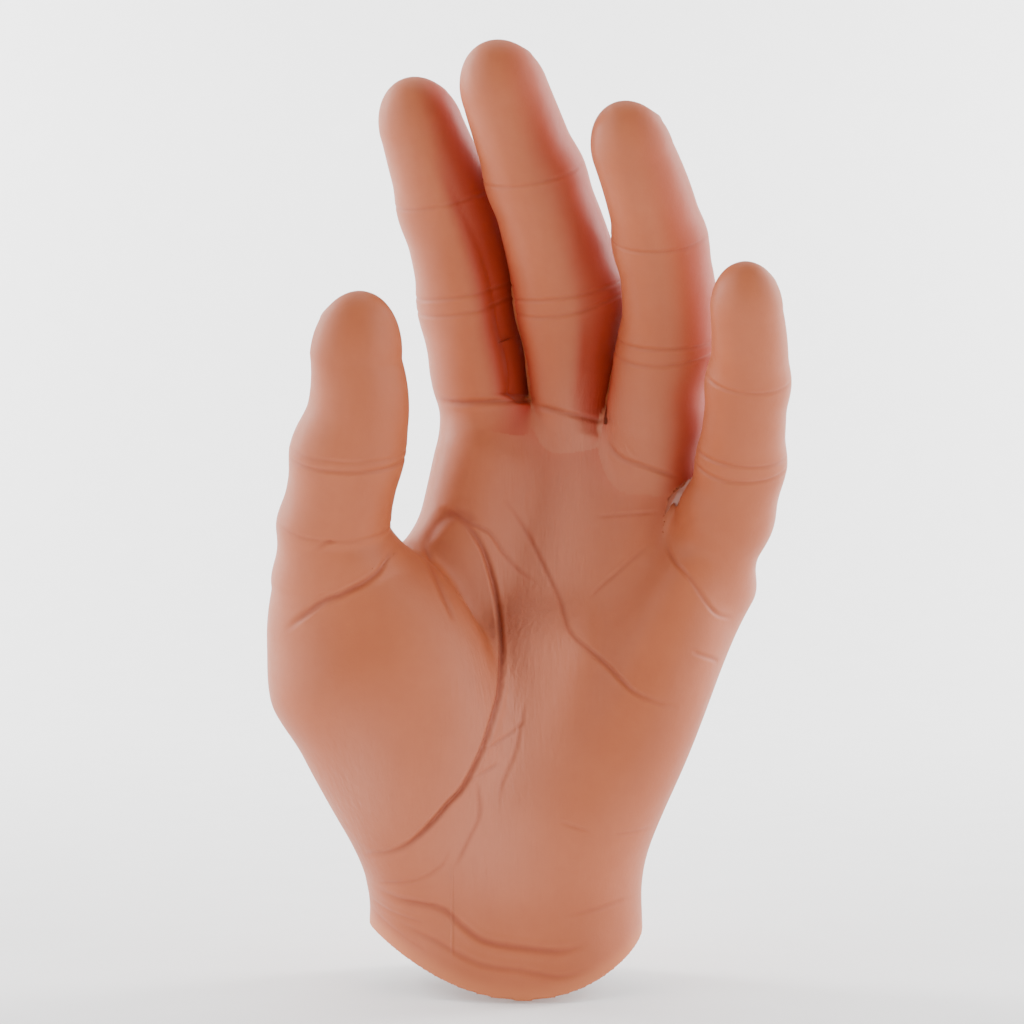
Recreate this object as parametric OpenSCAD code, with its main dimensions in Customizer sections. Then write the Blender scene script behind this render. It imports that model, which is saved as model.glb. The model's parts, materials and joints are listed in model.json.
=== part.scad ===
// Posable passive left hand prosthesis: a silicone glove over a rigid palm
// core and a jointed metal armature, carried on a threaded wrist stud.
// +Z runs up the forearm axis to the fingertips, the palm faces -Y and the
// thumb is on the -X side. The origin is on the stud axis at the wrist neck.

/* [Index finger] */
// Knuckle hinge centre
index_knuckle = [-6.3, 8, 114.4]; // [-120:0.1:120]
// Lean towards +X and turn about the finger's own length, in degrees
index_turn = [-7.9, -12]; // [-30:0.1:30]
// Bend of each bone from the forearm axis, knuckle to tip
index_bend = [14, 20, 24]; // [0:1:70]
// Length of each bone, knuckle to tip
index_bones = [16, 22, 29]; // [12:0.5:40]
// Finger radius at the knuckle, middle hinge, end hinge and tip
index_radii = [10, 10.2, 9.7, 8.6]; // [6:0.1:12]

/* [Middle finger] */
// Knuckle hinge centre
middle_knuckle = [15.2, 4.7, 114]; // [-120:0.1:120]
// Lean towards +X and turn about the finger's own length, in degrees
middle_turn = [-6.4, -14]; // [-30:0.1:30]
// Bend of each bone from the forearm axis, knuckle to tip
middle_bend = [16, 29, 33]; // [0:1:70]
// Length of each bone, knuckle to tip
middle_bones = [17, 28.5, 31.5]; // [12:0.5:40]
// Finger radius at the knuckle, middle hinge, end hinge and tip
middle_radii = [10, 10.6, 10.4, 9.2]; // [6:0.1:12]

/* [Ring finger] */
// Knuckle hinge centre
ring_knuckle = [34.2, -0.6, 105]; // [-120:0.1:120]
// Lean towards +X and turn about the finger's own length, in degrees
ring_turn = [1.3, -14]; // [-30:0.1:30]
// Bend of each bone from the forearm axis, knuckle to tip
ring_bend = [22, 32, 42]; // [0:1:70]
// Length of each bone, knuckle to tip
ring_bones = [15, 25, 33.5]; // [12:0.5:40]
// Finger radius at the knuckle, middle hinge, end hinge and tip
ring_radii = [9.8, 9.8, 9.3, 8.4]; // [6:0.1:12]

/* [Little finger] */
// Knuckle hinge centre
little_knuckle = [48.8, -8.2, 82.6]; // [-120:0.1:120]
// Lean towards +X and turn about the finger's own length, in degrees
little_turn = [7.5, -11]; // [-30:0.1:30]
// Bend of each bone from the forearm axis, knuckle to tip
little_bend = [28, 35, 40]; // [0:1:70]
// Length of each bone, knuckle to tip
little_bones = [13, 19.5, 29]; // [12:0.5:40]
// Finger radius at the knuckle, middle hinge, end hinge and tip
little_radii = [9.1, 8.9, 8.3, 7.4]; // [6:0.1:12]

/* [Thumb] */
// Root hinge centre
thumb_knuckle = [-34.5, -20, 80.5]; // [-120:0.1:120]
// Lean towards +X and turn about the thumb's own length, in degrees
thumb_turn = [-3, 18]; // [-30:0.1:30]
// Bend of each bone from the forearm axis, root to tip
thumb_bend = [26, 22]; // [0:1:70]
// Length of each bone, root to tip
thumb_bones = [17, 34]; // [12:0.5:40]
// Thumb radius at the root, end hinge and tip
thumb_radii = [11.9, 11.5, 10.2]; // [6:0.1:13]

/* [Hinge travel] */
// Travel of a knuckle, middle hinge and end hinge past rest, in degrees
bend_more = [32, 42, 30]; // [10:1:60]
// Travel of the thumb's root and end hinge past rest, in degrees
thumb_more = [28, 40]; // [10:1:60]
// Travel of any hinge back from rest, in degrees
bend_back = 12; // [5:1:15]

/* [Hinge hardware] */
// Hinge pin radius
pin_r = 1.5; // [1:0.1:2]
// Running clearance of a link on its pin
pin_gap = 0.06; // [0.02:0.01:0.1]
// Radius of the rounded end of a link
eye_r = 4.2; // [3.5:0.1:4.5]
// Thickness of a link's tongue
tongue_t = 4; // [3:0.1:4.5]
// Thickness of one fork cheek
cheek_t = 2.1; // [1.5:0.1:2.5]
// Width of the bar between two hinges
bar_w = 5.6; // [5:0.1:5.8]
// Radius of a palm rod
rod_r = 3; // [2.5:0.1:3.5]

/* [Wrist] */
// Half width and half depth of the wrist neck
neck = [30.2, 21]; // [18:0.5:34]
// Turn of the wrist about the forearm axis, in degrees
wrist_turn = -10; // [-20:1:0]
// Height of the glove's rim at its sides, below the neck
cuff_drop = 8; // [4:0.5:12]
// Tilt of the rim, low on the palm side, in degrees
cuff_tilt = 27; // [10:1:30]
// Outward flare of the glove at the rim
cuff_flare = 1.6; // [0:0.1:3]
// Glove wall thickness
skin = 2.4; // [1.5:0.1:3]
// Radius of the M12 mounting stud
stud_r = 6; // [5:0.5:8]
// Free length of the stud
stud_len = 16; // [10:0.5:18]
// Width across the flats of the stud nut
nut_flats = 19; // [17:0.5:22]
// Thickness of the wrist plate
plate_t = 5; // [3:0.5:8]
// Height of the plate's lower face
plate_z = 4; // [2:0.5:6]

/* [Hidden] */

$fn = 48;
hull_fn = 32;
skin_color = "peru";
nail_color = "mistyrose";
link_color = "silver";
pin_color = "dimgray";

fit = 0.02;                       // gap between pieces fixed together
ball_gap = 0.6;                   // gap between a ball end and its socket
blend = 0.2;                      // how far a sleeve starts inside its ball end
blend_z = 1;                      // height at which it starts
fork_t = tongue_t + 0.3 + 2 * cheek_t;
cheek_x = tongue_t / 2 + 0.15;    // inner face of a cheek
cross_top = 4.8;                  // fork floor, below its hinge
cross_low = 7.3;                  // underside of the fork floor
eye_room = 6.8;                   // room for a fork inside a ball end
slot_half = 32;                   // half angle a fork's neck takes up
nail_wall = [0.6, 0.5];           // nail below and above the skin
nail_len = 12;
nail_from_tip = 15.5;

INDEX = [index_knuckle, index_turn, index_bend, index_bones, index_radii];
MIDDLE = [middle_knuckle, middle_turn, middle_bend, middle_bones, middle_radii];
RING = [ring_knuckle, ring_turn, ring_bend, ring_bones, ring_radii];
LITTLE = [little_knuckle, little_turn, little_bend, little_bones, little_radii];
THUMB = [thumb_knuckle, thumb_turn, thumb_bend, thumb_bones, thumb_radii];
DIGITS = [INDEX, MIDDLE, RING, LITTLE, THUMB];

// Wrist stack, from the stud's end up
flange_t = 3;
flange_r = 10;
stud_end = plate_z - flange_t - stud_len;
plate_top = plate_z + plate_t;
nut_t = 7;
nut_room = 8;
hub_top = plate_top + 21;
rod_floor = plate_top + 10;
spigot_r = 5;
hub_half = 14;                    // half length of the hub's straight sides
hub_r = 12.2;
plate_half = 9;
plate_r = 16;
screw_x = 17;
screw_r = 2;
screw_deep = 8;
head_r = 3.5;
head_t = 2.5;
set_z = hub_top - 6;
set_len = 4.5;
set_gap = 0.9;                    // from a rod to the end of its set screw
rod_pitch = 8.6;                  // spacing of the rods in the hub
knob_r = 3.8;                     // knob where a rod meets its fork

// Unit vector along bone k of a digit
function along(d, k) =
    let (t = d[2][k], lean = d[1][0], turn = d[1][1])
    let (side = sin(t) * sin(turn), up = cos(t))
    [side * cos(lean) + up * sin(lean), -sin(t) * cos(turn), up * cos(lean) - side * sin(lean)];

// Centre of hinge k of a digit
function hinge(d, k) = k == 0 ? d[0] : hinge(d, k - 1) + along(d, k - 1) * d[3][k - 1];

// Travel of hinge k past rest; the thumb has two bones
function travel(d, k) = len(d[3]) == 2 ? thumb_more[k] : bend_more[k];

// Angle between bones k - 1 and k at rest
function rest_bend(d, k) = k == 0 ? 0 : d[2][k] - d[2][k - 1];

// How far below hinge k its parent's sleeve stops, so that it clears at full bend
function sleeve_gap(d, k) = d[4][k] * tan((travel(d, k) + rest_bend(d, k)) / 2) + ball_gap;

// Where a digit's palm rod starts in the hub
function rod_foot(i) =
    let (x = (i < 4 ? i - 1 : -2) * rod_pitch)
    [x * cos(wrist_turn), x * sin(wrist_turn), rod_floor];

// Where a digit's palm rod meets its fork
function rod_head(d) = d[0] - along(d, 0) * (cross_low + knob_r - 1);

// Places children at hinge k, +Z along bone j, -Y to the palm side
module at_hinge(d, k, j) {
    translate(hinge(d, k))
        rotate([0, d[1][0], 0])
            rotate([0, 0, d[1][1]])
                rotate([d[2][j], 0, 0])
                    children();
}

// Extrudes a Y-Z outline along X, centred
module across(width) {
    rotate([90, 0, 90])
        linear_extrude(height = width, center = true)
            children();
}

// Everything below z = 0
module below() {
    translate([-60, -60, -80])
        cube([120, 120, 80]);
}

module stadium(half, r, h) {
    linear_extrude(height = h) {
        square([2 * half, 2 * r], center = true);
        for (side = [-1, 1])
            translate([side * half, 0])
                circle(r);
    }
}

// Cylinder between two points; turn is about its own length
module bar_between(a, b, r, turn = 0) {
    d = b - a;
    translate(a)
        rotate([0, acos(d[2] / norm(d)), atan2(d[1], d[0])])
            rotate([0, 0, turn])
                cylinder(r = r, h = norm(d));
}

// Fork around a hinge at the local origin, its neck towards -Z
module fork(bore) {
    difference() {
        union() {
            for (side = [-1, 1])
                translate([side * (cheek_x + cheek_t / 2), 0, 0])
                    across(cheek_t) {
                        circle(eye_r);
                        translate([-bar_w / 2, -cross_low])
                            square([bar_w, cross_low]);
                    }
            translate([-fork_t / 2, -bar_w / 2, -cross_low])
                cube([fork_t, bar_w, cross_low - cross_top]);
        }
        rotate([0, 90, 0])
            cylinder(r = bore, h = fork_t + 1, center = true);
    }
}

// Tongue on a hinge at the local origin, its bar running to z = top
module tongue(top) {
    difference() {
        across(tongue_t) {
            circle(eye_r);
            translate([-bar_w / 2, 0])
                square([bar_w, top]);
        }
        rotate([0, 90, 0])
            cylinder(r = pin_r + pin_gap, h = fork_t + 1, center = true);
    }
}

module hinge_pin() {
    rotate([0, 90, 0])
        cylinder(r = pin_r, h = fork_t, center = true);
}

// Link of bone k, with a fork for the next hinge
module link(d, k) {
    color(link_color)
        at_hinge(d, k, k) {
            tongue(d[3][k] - cross_low + 0.5);
            translate([0, 0, d[3][k]])
                fork(pin_r + fit);
        }
}

// Link of the last bone, with a rounded end
module end_link(d, k) {
    reach = d[3][k] - d[4][k + 1] - 4;
    color(link_color)
        at_hinge(d, k, k)
            union() {
                tongue(reach);
                translate([0, 0, reach])
                    across(tongue_t)
                        circle(bar_w / 2);
            }
}

// Hinge pin of hinge k
module digit_pin(d, k) {
    color(pin_color)
        at_hinge(d, k, k)
            hinge_pin();
}

// Sector that the neck of the parent's fork sweeps inside a ball end
module neck_sweep(d, k) {
    low = -rest_bend(d, k) - travel(d, k) - slot_half;
    high = -rest_bend(d, k) + bend_back + slot_half;
    reach = 16;
    steps = 8;
    arc = [for (i = [0 : steps]) let (a = low + (high - low) * i / steps) reach * [sin(a), -cos(a)]];
    across(fork_t + 0.6)
        polygon(concat([[0, 0]], arc));
}

// Hollow inside a digit's skin, for its link and the parent's fork
module skin_room(d, k, bar_top) {
    sphere(eye_room);
    neck_sweep(d, k);
    translate([-tongue_t / 2 - fit, -bar_w / 2 - fit, 0])
        cube([tongue_t + 2 * fit, bar_w + 2 * fit, bar_top]);
}

// Room in a sleeve for the floor of its own link's fork
module fork_room(top) {
    translate([-fork_t / 2 - fit, -bar_w / 2 - fit, top - cross_low - fit])
        cube([fork_t + 2 * fit, bar_w + 2 * fit, cross_low]);
}

// Skin of bone k: a ball end on its hinge and a socket for the next ball
module skin_sleeve(d, k) {
    top = d[3][k];
    next_r = d[4][k + 1];
    sleeve_top = top - sleeve_gap(d, k + 1);
    color(skin_color)
        at_hinge(d, k, k)
            difference() {
                union() {
                    sphere(d[4][k]);
                    translate([0, 0, blend_z])
                        cylinder(r1 = d[4][k] - blend, r2 = next_r, h = sleeve_top - blend_z);
                }
                skin_room(d, k, top);
                fork_room(top);
                translate([0, 0, top])
                    sphere(next_r + ball_gap);
            }
}

// Solid curved plate on the back of the last bone
module nail_plate(d, k, grow) {
    tip_r = d[4][k + 1];
    wide = tip_r * 0.68;
    translate([0, 0, d[3][k] - nail_from_tip])
        intersection() {
            difference() {
                cylinder(r = tip_r + nail_wall[1] + grow, h = nail_len + 2);
                translate([0, 0, -1])
                    cylinder(r = tip_r - nail_wall[0] - grow, h = nail_len + 4);
            }
            rotate([-90, 0, 0])
                linear_extrude(height = 2 * tip_r)
                    union() {
                        translate([0, -wide - grow])
                            circle(wide + grow);
                        translate([-wide - grow, -nail_len])
                            square([2 * (wide + grow), nail_len - wide]);
                    }
        }
}

// Skin of the last bone, with a rounded tip and a nail bed
module end_skin(d, k) {
    tip_r = d[4][k + 1];
    reach = d[3][k] - tip_r;
    color(skin_color)
        at_hinge(d, k, k)
            difference() {
                union() {
                    sphere(d[4][k]);
                    translate([0, 0, blend_z])
                        cylinder(r1 = d[4][k] - blend, r2 = tip_r - blend, h = reach - blend_z);
                    translate([0, 0, reach])
                        sphere(tip_r);
                }
                skin_room(d, k, reach - 4);
                translate([0, 0, reach - 4])
                    across(tongue_t + 2 * fit)
                        circle(bar_w / 2 + fit);
                nail_plate(d, k, fit);
            }
}

module nail(d, k) {
    color(nail_color)
        at_hinge(d, k, k)
            nail_plate(d, k, 0);
}

// Fork and rod of a digit inside the palm
module palm_rod(i) {
    d = DIGITS[i];
    at_hinge(d, 0, 0)
        fork(pin_r + fit);
    translate(rod_head(d))
        sphere(knob_r);
    bar_between(rod_foot(i), rod_head(d), rod_r);
}

// Space that a digit's root needs in the palm, over its whole travel
module root_room(d) {
    r = d[4][0] + ball_gap;
    translate(d[0])
        sphere(r);
    for (swing = [-bend_back, 0, travel(d, 0)])
        at_hinge(d, 0, 0)
            rotate([swing, 0, 0])
                cylinder(r = r, h = d[3][0]);
}

// Room for a digit's palm rod and the knob at its end
module rod_room(i, knob_gap) {
    hull()
        bar_between(rod_foot(i), rod_head(DIGITS[i]), rod_r + 0.2);
    ball(rod_head(DIGITS[i]), knob_r + knob_gap);
}

// One ball of the palm's form
module ball(p, r) {
    translate(p)
        sphere(r, $fn = hull_fn);
}

// Slice of the wrist at height z, at full neck size plus grow
module wrist_slice(z, grow) {
    translate([0, 0, z])
        rotate([0, 0, wrist_turn])
            scale([neck[0] + grow, neck[1] + grow, 1])
                cylinder(r = 1, h = 1, $fn = 2 * hull_fn);
}

// Outer form of the palm; inset moves its surface inwards
module palm_form(inset) {
    index_lobe = [-4.5, 9, 97.5];
    middle_lobe = [15, 6.5, 97.5];
    ring_lobe = [33, 1.5, 90];
    little_lobe = [43.8, -4.4, 68.8];
    heel = [29, -5, 33];
    thenar_low = [-25, -10, 28];
    thenar_top = [-34.2, -16.5, 57];
    thumb_lobe = [-35, -15, 67];
    hull() {
        wrist_slice(0, -inset);
        ball(index_lobe, 12.2 - inset);
        ball(middle_lobe, 12.4 - inset);
        ball([24, 0, 32], 16 - inset);
    }
    hull() {
        ball(middle_lobe, 12.4 - inset);
        ball(ring_lobe, 11.8 - inset);
        ball([20, 1, 40], 16 - inset);
    }
    hull() {
        ball(ring_lobe, 11.8 - inset);
        ball(little_lobe, 11.4 - inset);
        ball(heel, 13.5 - inset);
        ball([18.5, -3, 12], 14 - inset);
        ball([20, 0, 52], 15 - inset);
    }
    hull() {
        ball([-15, -4, 9], 15.5 - inset);
        ball(thenar_low, 17 - inset);
        ball(thenar_top, 16 - inset);
        ball([-10, -9, 44], 15 - inset);
    }
    hull() {
        ball(thenar_top, 15 - inset);
        ball(thumb_lobe, 12.4 - inset);
        ball([-12, 2, 70], 12 - inset);
    }
}

// Glove cuff below the neck, before its rim is cut
module cuff_form(inset) {
    hull() {
        wrist_slice(0, -inset);
        wrist_slice(-30, cuff_flare - inset);
    }
}

// Cuts the glove's rim: level at the back, falling to the palm side
module rim_cut() {
    translate([0, 0, -cuff_drop])
        intersection() {
            below();
            rotate([cuff_tilt, 0, 0])
                below();
        }
}

module palm_glove() {
    color(skin_color)
        difference() {
            union() {
                palm_form(0);
                cuff_form(0);
            }
            palm_form(skin);
            cuff_form(skin);
            rim_cut();
            hub_form(0.1);
            for (i = [0 : 4]) {
                root_room(DIGITS[i]);
                rod_room(i, 0.2);
            }
        }
}

module palm_core() {
    color("tan")
        difference() {
            palm_form(skin + 0.1);
            translate([0, 0, plate_top + fit])
                below();
            hub_form(0.1);
            for (i = [0 : 4]) {
                root_room(DIGITS[i]);
                rod_room(i, 2);
            }
        }
}

// Outer form of the hub
module hub_form(grow) {
    rotate([0, 0, wrist_turn])
        translate([0, 0, plate_top - grow])
            stadium(hub_half, hub_r + grow, hub_top - plate_top + 2 * grow);
}

module palm_hub() {
    color(link_color)
        difference() {
            hub_form(0);
            for (i = [0 : 4])
                bar_between(rod_foot(i), rod_head(DIGITS[i]), rod_r + fit, 180);
            for (i = [0 : 4])
                set_screw_at(i, screw_r + fit, 0, 2 * hub_r);
            translate([0, 0, plate_top - 1])
                cylinder(r = nut_flats / sqrt(3) + 0.2, h = nut_room + 1);
            plate_screw_shanks(screw_r + fit, 0.2);
        }
}

// Point on a digit's rod at the height of its set screw
function set_point(i) =
    let (a = rod_foot(i), b = rod_head(DIGITS[i]))
    a + (b - a) * (set_z - a[2]) / (b[2] - a[2]);

// Grub screw bore or body, pressing on a rod from the back of the hand
module set_screw_at(i, r, start, len) {
    p = set_point(i);
    translate([p[0], p[1] + start, p[2]])
        rotate([-90, 0, 0])
            cylinder(r = r, h = len);
}

module set_screws() {
    color(pin_color)
        for (i = [0 : 4])
            set_screw_at(i, screw_r, rod_r + set_gap, set_len);
}

module plate_screw_shanks(r, extra) {
    for (side = [-1, 1])
        rotate([0, 0, wrist_turn])
            translate([side * screw_x, 0, plate_z - 0.1])
                cylinder(r = r, h = plate_t + 0.1 + screw_deep + extra);
}

module plate_screws() {
    color(pin_color)
        for (side = [-1, 1])
            rotate([0, 0, wrist_turn])
                translate([side * screw_x, 0, plate_z - head_t])
                    union() {
                        cylinder(r = head_r, h = head_t);
                        cylinder(r = screw_r, h = head_t + plate_t + screw_deep);
                    }
}

module wrist_plate() {
    color(link_color)
        difference() {
            rotate([0, 0, wrist_turn])
                translate([0, 0, plate_z])
                    stadium(plate_half, plate_r, plate_t);
            translate([0, 0, plate_z - 1])
                cylinder(r = spigot_r + fit, h = plate_t + 2);
            plate_screw_shanks(screw_r + 0.2, 0);
        }
}

module wrist_stud() {
    color(pin_color)
        union() {
            translate([0, 0, stud_end])
                cylinder(r = stud_r, h = stud_len);
            translate([0, 0, plate_z - flange_t])
                cylinder(r = flange_r, h = flange_t);
            translate([0, 0, plate_z])
                cylinder(r = spigot_r, h = plate_t + nut_t);
        }
}

module stud_nut() {
    color(pin_color)
        translate([0, 0, plate_top])
            difference() {
                cylinder(r = nut_flats / sqrt(3), h = nut_t, $fn = 6);
                translate([0, 0, -1])
                    cylinder(r = spigot_r + fit, h = nut_t + 2);
            }
}

module knuckle_pins() {
    for (d = DIGITS)
        digit_pin(d, 0);
}

module index_rod() { color(link_color) palm_rod(0); }
module middle_rod() { color(link_color) palm_rod(1); }
module ring_rod() { color(link_color) palm_rod(2); }
module little_rod() { color(link_color) palm_rod(3); }
module thumb_rod() { color(link_color) palm_rod(4); }

module index_proximal_link() { link(INDEX, 0); }
module index_middle_link() { link(INDEX, 1); }
module index_distal_link() { end_link(INDEX, 2); }
module index_proximal_skin() { skin_sleeve(INDEX, 0); }
module index_middle_skin() { skin_sleeve(INDEX, 1); }
module index_distal_skin() { end_skin(INDEX, 2); }
module index_pip_pin() { digit_pin(INDEX, 1); }
module index_dip_pin() { digit_pin(INDEX, 2); }
module index_nail() { nail(INDEX, 2); }

module middle_proximal_link() { link(MIDDLE, 0); }
module middle_middle_link() { link(MIDDLE, 1); }
module middle_distal_link() { end_link(MIDDLE, 2); }
module middle_proximal_skin() { skin_sleeve(MIDDLE, 0); }
module middle_middle_skin() { skin_sleeve(MIDDLE, 1); }
module middle_distal_skin() { end_skin(MIDDLE, 2); }
module middle_pip_pin() { digit_pin(MIDDLE, 1); }
module middle_dip_pin() { digit_pin(MIDDLE, 2); }
module middle_nail() { nail(MIDDLE, 2); }

module ring_proximal_link() { link(RING, 0); }
module ring_middle_link() { link(RING, 1); }
module ring_distal_link() { end_link(RING, 2); }
module ring_proximal_skin() { skin_sleeve(RING, 0); }
module ring_middle_skin() { skin_sleeve(RING, 1); }
module ring_distal_skin() { end_skin(RING, 2); }
module ring_pip_pin() { digit_pin(RING, 1); }
module ring_dip_pin() { digit_pin(RING, 2); }
module ring_nail() { nail(RING, 2); }

module little_proximal_link() { link(LITTLE, 0); }
module little_middle_link() { link(LITTLE, 1); }
module little_distal_link() { end_link(LITTLE, 2); }
module little_proximal_skin() { skin_sleeve(LITTLE, 0); }
module little_middle_skin() { skin_sleeve(LITTLE, 1); }
module little_distal_skin() { end_skin(LITTLE, 2); }
module little_pip_pin() { digit_pin(LITTLE, 1); }
module little_dip_pin() { digit_pin(LITTLE, 2); }
module little_nail() { nail(LITTLE, 2); }

module thumb_proximal_link() { link(THUMB, 0); }
module thumb_distal_link() { end_link(THUMB, 1); }
module thumb_proximal_skin() { skin_sleeve(THUMB, 0); }
module thumb_distal_skin() { end_skin(THUMB, 1); }
module thumb_ip_pin() { digit_pin(THUMB, 1); }
module thumb_nail() { nail(THUMB, 1); }

palm_glove();
palm_core();
palm_hub();
wrist_plate();
wrist_stud();
stud_nut();
plate_screws();
set_screws();
knuckle_pins();
index_rod();
middle_rod();
ring_rod();
little_rod();
thumb_rod();
index_proximal_link();
index_middle_link();
index_distal_link();
index_proximal_skin();
index_middle_skin();
index_distal_skin();
index_pip_pin();
index_dip_pin();
index_nail();
middle_proximal_link();
middle_middle_link();
middle_distal_link();
middle_proximal_skin();
middle_middle_skin();
middle_distal_skin();
middle_pip_pin();
middle_dip_pin();
middle_nail();
ring_proximal_link();
ring_middle_link();
ring_distal_link();
ring_proximal_skin();
ring_middle_skin();
ring_distal_skin();
ring_pip_pin();
ring_dip_pin();
ring_nail();
little_proximal_link();
little_middle_link();
little_distal_link();
little_proximal_skin();
little_middle_skin();
little_distal_skin();
little_pip_pin();
little_dip_pin();
little_nail();
thumb_proximal_link();
thumb_distal_link();
thumb_proximal_skin();
thumb_distal_skin();
thumb_ip_pin();
thumb_nail();
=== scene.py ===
import json

import bmesh
import bpy
import numpy as np
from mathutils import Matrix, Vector

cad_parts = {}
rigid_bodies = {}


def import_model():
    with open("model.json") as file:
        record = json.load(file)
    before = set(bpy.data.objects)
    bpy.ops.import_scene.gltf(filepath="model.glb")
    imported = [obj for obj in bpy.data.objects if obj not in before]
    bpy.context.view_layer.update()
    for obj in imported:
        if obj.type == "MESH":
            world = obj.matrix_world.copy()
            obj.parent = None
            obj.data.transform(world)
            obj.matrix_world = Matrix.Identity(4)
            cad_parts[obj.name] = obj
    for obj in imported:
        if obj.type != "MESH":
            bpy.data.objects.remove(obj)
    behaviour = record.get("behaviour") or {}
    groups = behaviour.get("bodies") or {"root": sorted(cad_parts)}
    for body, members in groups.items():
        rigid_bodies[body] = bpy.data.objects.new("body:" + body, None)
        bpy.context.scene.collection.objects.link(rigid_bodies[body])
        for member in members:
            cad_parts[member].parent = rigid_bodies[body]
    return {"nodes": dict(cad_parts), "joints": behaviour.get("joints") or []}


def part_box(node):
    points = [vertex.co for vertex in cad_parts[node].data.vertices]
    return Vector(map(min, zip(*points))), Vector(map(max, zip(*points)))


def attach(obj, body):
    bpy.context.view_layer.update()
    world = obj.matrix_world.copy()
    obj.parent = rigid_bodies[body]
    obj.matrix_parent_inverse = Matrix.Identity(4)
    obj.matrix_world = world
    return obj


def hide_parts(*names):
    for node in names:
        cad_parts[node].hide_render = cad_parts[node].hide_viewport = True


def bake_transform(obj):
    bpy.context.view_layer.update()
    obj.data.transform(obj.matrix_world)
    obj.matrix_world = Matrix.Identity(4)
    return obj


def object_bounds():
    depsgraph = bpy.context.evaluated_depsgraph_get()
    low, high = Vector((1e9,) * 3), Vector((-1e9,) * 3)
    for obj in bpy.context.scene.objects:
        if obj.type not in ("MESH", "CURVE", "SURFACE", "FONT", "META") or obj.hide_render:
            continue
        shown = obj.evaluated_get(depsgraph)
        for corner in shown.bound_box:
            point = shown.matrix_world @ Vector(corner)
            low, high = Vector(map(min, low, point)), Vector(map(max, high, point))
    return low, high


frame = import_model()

cad_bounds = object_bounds()

# The hand's skin is one surface. It is built as a distance field, in millimetres, around the hinges of the
# frame, meshed and creased, and then split into pieces across the bones, where no hinge bends it.

MM = 0.001                           # one millimetre in scene units
CELL = 0.6    # spacing of the field's grid
BLOCK = 6                            # cells along the side of one block of that grid
WALL = 2.2                           # thickness of the cuff's wall
RIM_WALL = 1.3                       # thickness of that wall at its rim
SLIT = 1.1                           # gap between neighbouring fingers
BONE_SPLIT = 0.45                    # share of a bone's length where its skin is split
WRIST_TURN = np.radians(-10.0)
WRIST_SIDE = np.array((np.cos(WRIST_TURN), np.sin(WRIST_TURN), 0.0))
ACROSS = np.array((0.96, -0.22, -0.12))
PLATE_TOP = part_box("wrist_plate")[1].z / MM


# ---------------------------------------------------------------------------------------------------
# The digits, read from the frame
# ---------------------------------------------------------------------------------------------------

def unit(v):
    v = np.asarray(v, float)
    return v / np.linalg.norm(v)


class Digit:
    """A finger or the thumb: its hinges, tip, bones and bodies, and the form of its skin."""

    def __init__(self, name, widths, drift, bows, tip_cap, root_cut):
        joints = [j for j in frame["joints"] if j["name"].startswith(name + "_")]
        self.name = name
        self.widths = widths             # half width at each hinge and at the tip's pad
        self.bows = bows                 # sideways bulge at the middle of each bone
        self.tip_cap = tip_cap           # length of the rounded fingertip
        self.root_cut = root_cut         # where its skin is split from the palm's, from its first hinge
        self.side = unit(joints[0]["axis"])
        self.hinges = [np.array(j["pos_m"]) / MM for j in joints]
        self.bodies = [joints[0]["parent"]] + [j["child"] for j in joints]
        self.bones = len(self.hinges)
        ends = self.hinges + [self.find_tip()]
        self.dirs = [unit(ends[k + 1] - ends[k]) for k in range(self.bones)]
        self.lengths = [np.linalg.norm(ends[k + 1] - ends[k]) for k in range(self.bones)]
        self.centres = [e + self.side * d for e, d in zip(ends, drift)]
        self.tip_dir = unit(self.centres[-1] - self.centres[-2])
        self.root_dir = self.dirs[0] if self.bones == 2 else unit(self.dirs[0] * (1.0, 0.25, 1.0))

    def find_tip(self):
        """The far end of the last CAD skin, brought into the plane that the digit bends in."""
        skin = frame["nodes"][self.bodies[-1] + "_skin"]
        points = np.array([v.co for v in skin.data.vertices]) / MM - self.hinges[-1]
        reach = points[np.linalg.norm(points, axis=1).argmax()]
        return self.hinges[-1] + reach - self.side * (reach @ self.side)

    def front(self, k):
        """Unit vector out of the palm side of bone k."""
        return np.cross(self.side, self.dirs[k])

    def over_root(self, p):
        """Distance of points p past the split between the palm's skin and the digit's."""
        return (p - self.hinges[0].astype(p.dtype)) @ self.root_dir.astype(p.dtype) - self.root_cut

    def depth_line(self, z):
        """How far back the digit's middle lies at height z."""
        return np.interp(z, [c[2] for c in self.centres], [c[1] for c in self.centres])

    def height(self, p, k):
        """Distance of points p along bone k from its hinge."""
        return (p - self.hinges[k].astype(p.dtype)) @ self.dirs[k].astype(p.dtype)


INDEX = Digit("index", (11.8, 12.1, 10.9, 9.2), (2.1, 2.3, 1.4, -1.8), (-0.3, 0.4, 0.0), 11.5, -4.0)
MIDDLE = Digit("middle", (10.9, 12.5, 10.4, 9.3), (0.5, 2.0, 0.4, -2.8), (0.0, 0.6, 0.0), 11.5, -1.5)
RING = Digit("ring", (11.1, 10.7, 9.6, 8.5), (-0.6, 2.3, 2.3, -2.8), (-0.6, 1.1, 0.6), 11.5, -1.5)
LITTLE = Digit("little", (9.8, 9.1, 8.3, 7.4), (-1.0, 1.2, 1.4, -0.5), (0.4, 0.0, 0.5), 11.0, -4.5)
THUMB = Digit("thumb", (11.2, 11.4, 9.5), (-1.7, 0.5, 2.0), (0.2, 1.5), 13.5, -4.0)
FINGERS = (INDEX, MIDDLE, RING, LITTLE)
DIGITS = FINGERS + (THUMB,)


# ---------------------------------------------------------------------------------------------------
# Distance field
# ---------------------------------------------------------------------------------------------------

def smooth_step(x, low, high):
    t = np.clip((x - low) / (high - low), 0.0, 1.0)
    return t * t * (3.0 - 2.0 * t)


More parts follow.
